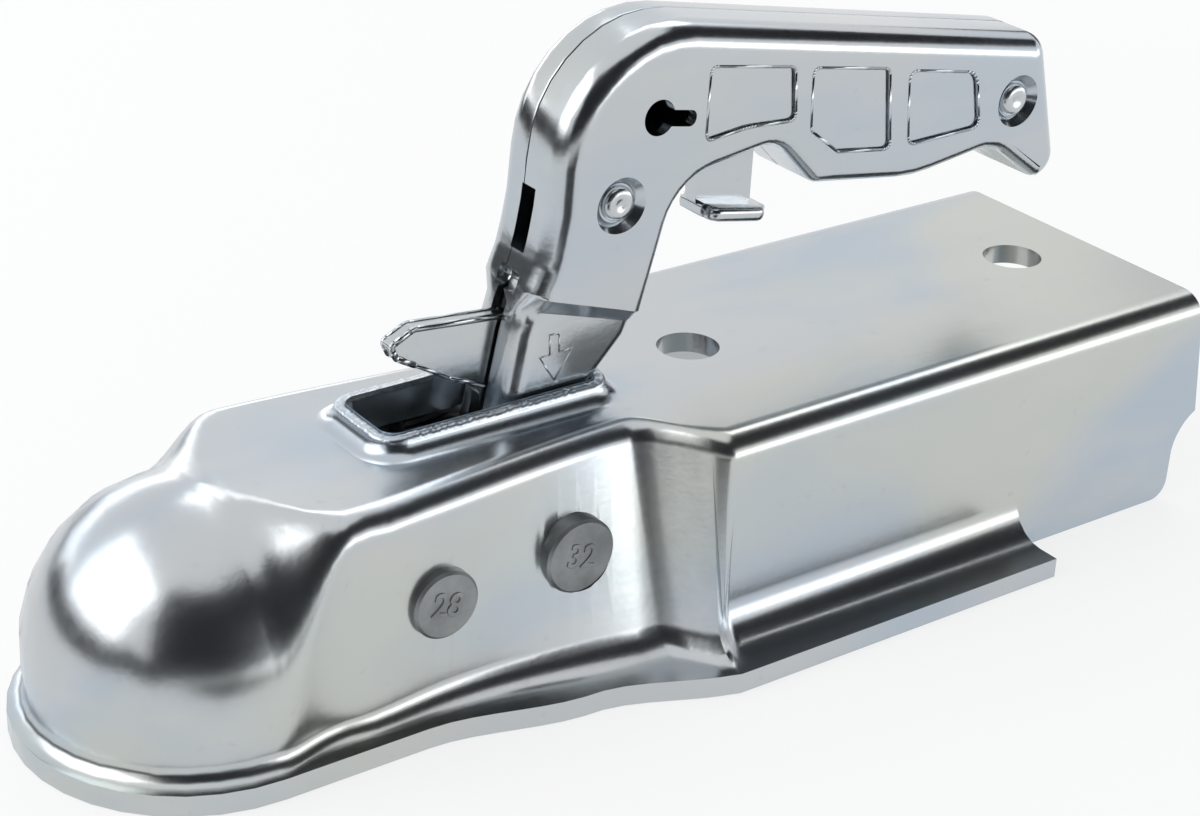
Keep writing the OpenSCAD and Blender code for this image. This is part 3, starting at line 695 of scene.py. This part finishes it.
class HeadRivets(bpy.types.Operator):
    """Snapped rivet heads: a low dome with a flat crown and a small centre mark"""
    bl_idname = "coupling.head_rivets"
    bl_label = "Head Rivets"

    # Radius of the shank, and how deep the head reaches down it, in millimetres
    SHANK = 2.4
    HEAD = 1.42

    def execute(self, context):
        for node in ("lower_rivet", "end_rivet"):
            low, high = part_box(node)
            centre = ((low[0] + high[0]) / 2 / MM, (low[2] + high[2]) / 2 / MM)
            radius = (high[0] - low[0]) / 2 / MM
            end = high[1] / MM
            crown = [(0, end - 0.35), (0.7, end - 0.3), (1.1, end - 0.05), (radius - 1.3, end),
                     (radius - 0.7, end - 0.18), (radius - 0.25, end - 0.55), (radius, end - 1.1),
                     (radius, end - self.HEAD), (self.SHANK, end - self.HEAD)]
            profile = crown + [(r, -y) for r, y in reversed(crown)]
            bm = bmesh.new()
            lathe_y(bm, profile, centre)
            smooth_faces(bm)
            piece = new_piece(node + "_head", bm, node)
            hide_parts(node)
        return {"FINISHED"}


class SetStage(bpy.types.Operator):
    """Pale floor, soft lamps, white surroundings and the camera"""
    bl_idname = "coupling.set_stage"
    bl_label = "Set Stage"

    # name, azimuth, elevation, distance, width, height, watts
    LAMPS = (
        ("left_box", 163, 36, 1.00, 1.00, 0.75, 4.4),
        ("front_strip", -50, 3, 1.15, 1.70, 0.30, 3.2),
        ("back_top", 40, 52, 1.10, 0.90, 0.30, 1.5),
        ("rear_strip", 95, 10, 1.20, 1.50, 0.26, 2.2),
    )
    # name, first and last azimuth, low and high elevation, in degrees
    FLAGS = (
        ("camera_flag", -150, -74, 0, 56),
        ("front_flag", -74, 2, 22, 60),
        ("left_flag", 84, 214, -2, 11),
        ("right_flag", 10, 36, 0, 18),
    )
    # A dark cloth on the floor before the camera: azimuths, nearest and furthest reach
    CLOTH = (-134, -98, 0.15, 0.60)
    TARGET = Vector((0.08, 0, 0.03))
    FLAG_DISTANCE = 1.3
    FLOOR_HALF = 3.0
    # Share of white in the floor near the object, and the distances over which it becomes all white
    FLOOR_WHITE = 0.75
    FLOOR_FADE = (0.35, 0.8)
    CAMERA_PLACE = Vector((-0.16901, -0.33604, 0.23155))
    # Yaw from +Y, pitch and roll, in degrees
    CAMERA_TURN = (36.124, -26.836, 2.258)
    CAMERA_LENS = 76.32
    CAMERA_SHIFT = (0.0324, 0.0107)

    def execute(self, context):
        self.floor(context)
        self.lamps(context)
        self.surroundings(context)
        self.flags(context)
        self.camera(context)
        context.scene.view_settings.view_transform = "Standard"
        return {"FINISHED"}

    def way(self, azimuth, tilt):
        """Unit vector at an azimuth from +X and an elevation, in degrees."""
        turn, rise = math.radians(azimuth), math.radians(tilt)
        return Vector((math.cos(turn) * math.cos(rise), math.sin(turn) * math.cos(rise), math.sin(rise)))

    def seen_rays(self, paint):
        """1 for camera, glossy and transmission rays, else 0."""
        rays = paint.node("ShaderNodeLightPath")
        seen = rays[0].math("MAXIMUM", rays[0], rays[3])
        return seen.math("MAXIMUM", seen, rays[6])

    def floor(self, context):
        bm = bmesh.new()
        bmesh.ops.create_grid(bm, x_segments=1, y_segments=1, size=self.FLOOR_HALF)
        bmesh.ops.translate(bm, vec=Vector((0, 0, CAD_BOX[0][2] - 0.0002)), verts=bm.verts)
        mesh = bpy.data.meshes.new("floor")
        bm.to_mesh(mesh)
        bm.free()
        floor = bpy.data.objects.new("floor", mesh)
        context.scene.collection.objects.link(floor)
        material, paint, place = fresh_material("pale_floor")
        matt = paint.node("ShaderNodeBsdfPrincipled", None, {
            "Base Color": (0.86, 0.865, 0.87), "Roughness": 0.65, "Specular IOR Level": 0.2})[0]
        white = paint.node("ShaderNodeEmission", None, {"Color": (1.0, 1.0, 1.0), "Strength": 1.0})[0]
        reach = paint.node("ShaderNodeVectorMath", dict(operation="LENGTH"), {0: place})[1]
        fade = reach.step(*self.FLOOR_FADE) * (1 - self.FLOOR_WHITE)
        share = self.seen_rays(paint) * (fade + self.FLOOR_WHITE)
        shader = paint.node("ShaderNodeMixShader", None, {0: share, 1: matt, 2: white})[0]
        paint.node("ShaderNodeOutputMaterial", None, {"Surface": shader})
        mesh.materials.append(material)

    def lamps(self, context):
        for name, azimuth, tilt, far, wide, high, power in self.LAMPS:
            place = self.TARGET + far * self.way(azimuth, tilt)
            lamp = bpy.data.lights.new(name, "AREA")
            lamp.shape = "RECTANGLE"
            lamp.energy = power
            lamp.size = wide
            lamp.size_y = high
            holder = bpy.data.objects.new(name, lamp)
            holder.location = place
            holder.rotation_euler = (self.TARGET - place).to_track_quat("-Z", "Y").to_euler()
            context.scene.collection.objects.link(holder)

    def surroundings(self, context):
        world = bpy.data.worlds.new("studio")
        world.use_nodes = True
        world.node_tree.nodes.clear()
        context.scene.world = world
        paint = Paint(world.node_tree)
        way = paint.node("ShaderNodeTexCoord")[0]
        up = paint.node("ShaderNodeSeparateXYZ", None, {"Vector": way})[2]
        band = paint.node("ShaderNodeValToRGB", dict(stops=[
            (0.0, (0.42, 0.44, 0.46)), (0.50, (0.42, 0.44, 0.46)), (0.75, (0.70, 0.72, 0.74)),
            (1.0, (0.90, 0.91, 0.92))]), {"Fac": up * 0.5 + 0.5})[0]
        soft = paint.node("ShaderNodeBackground", None, {"Color": band, "Strength": 0.9})[0]
        white = paint.node("ShaderNodeBackground", None, {"Color": (1.0, 1.0, 1.0), "Strength": 1.0})[0]
        both = paint.node("ShaderNodeMixShader", None, {0: self.seen_rays(paint), 1: soft, 2: white})[0]
        paint.node("ShaderNodeOutputWorld", None, {"Surface": both})

    def flags(self, context):
        """Dark cloth bands outside the view, which only reflections see."""
        material, paint, place = fresh_material("flag_cloth")
        shader = paint.node("ShaderNodeBsdfPrincipled", None, {
            "Base Color": (0.02, 0.021, 0.024), "Roughness": 0.9, "Specular IOR Level": 0.0})[0]
        paint.node("ShaderNodeOutputMaterial", None, {"Surface": shader})
        near, far = self.CLOTH[2:]
        away = self.FLAG_DISTANCE
        bands = [(name, first, last, away * self.way(0, low), away * self.way(0, high))
                 for name, first, last, low, high in self.FLAGS]
        lift = CAD_BOX[0][2] + 0.0005 - self.TARGET.z
        bands.append(("floor_cloth", *self.CLOTH[:2], Vector((near, 0, lift)), Vector((far, 0, lift))))
        for name, first, last, low, high in bands:
            steps = 12
            bm = bmesh.new()
            rows = []
            for i in range(steps + 1):
                turn = Matrix.Rotation(math.radians(first + (last - first) * i / steps), 3, "Z")
                rows.append([bm.verts.new(self.TARGET + turn @ point) for point in (low, high)])
            for a, b in zip(rows, rows[1:]):
                bm.faces.new((a[0], b[0], b[1], a[1]))
            mesh = bpy.data.meshes.new(name)
            bm.to_mesh(mesh)
            bm.free()
            mesh.materials.append(material)
            card = bpy.data.objects.new(name, mesh)
            card.visible_camera = False
            card.visible_diffuse = False
            card.visible_shadow = False
            context.scene.collection.objects.link(card)

    def camera(self, context):
        yaw, pitch, roll = (math.radians(angle) for angle in self.CAMERA_TURN)
        look = Vector((math.sin(yaw) * math.cos(pitch), math.cos(yaw) * math.cos(pitch), math.sin(pitch)))
        level = Vector((math.cos(yaw), -math.sin(yaw), 0))
        above = level.cross(look)
        right = level * math.cos(roll) + above * math.sin(roll)
        up = above * math.cos(roll) - level * math.sin(roll)
        lens = bpy.data.cameras.new("camera")
        lens.sensor_width = 36.0
        lens.lens = self.CAMERA_LENS
        lens.shift_x, lens.shift_y = self.CAMERA_SHIFT
        lens.clip_start = 0.01
        camera = bpy.data.objects.new("camera", lens)
        turn = Matrix((right, up, -look)).transposed().to_4x4()
        camera.matrix_world = Matrix.Translation(self.CAMERA_PLACE) @ turn
        context.scene.collection.objects.link(camera)
        context.scene.camera = camera


class CouplingPanel(bpy.types.Panel):
    """Steps of the dressing, in order"""
    bl_idname = "VIEW3D_PT_coupling"
    bl_label = "Coupling Head"
    bl_space_type = "VIEW_3D"
    bl_region_type = "UI"
    bl_category = "Coupling"

    def draw(self, context):
        column = self.layout.column()
        for name in CouplingSizes.__annotations__:
            column.prop(context.scene.coupling_sizes, name)
        for name in CouplingColours.__annotations__:
            column.prop(context.scene.coupling_colours, name)
        for step in STEPS:
            column.operator(step.bl_idname)


STEPS = (DressPressings, DressTurnedParts, HeadRivets, MarkPins, MarkHandle, RimPointer, PadLever,
         DrawCollar, SetStage)
CLASSES = (CouplingSizes, CouplingColours, *STEPS, CouplingPanel)


def register():
    for cls in CLASSES:
        bpy.utils.register_class(cls)
    bpy.types.Scene.coupling_sizes = bpy.props.PointerProperty(type=CouplingSizes)
    bpy.types.Scene.coupling_colours = bpy.props.PointerProperty(type=CouplingColours)


def unregister():
    del bpy.types.Scene.coupling_colours
    del bpy.types.Scene.coupling_sizes
    for cls in reversed(CLASSES):
        bpy.utils.unregister_class(cls)


def main():
    register()
    for step in STEPS:
        group, name = step.bl_idname.split(".")
        getattr(getattr(bpy.ops, group), name)()


if __name__ == "__main__":
    main()
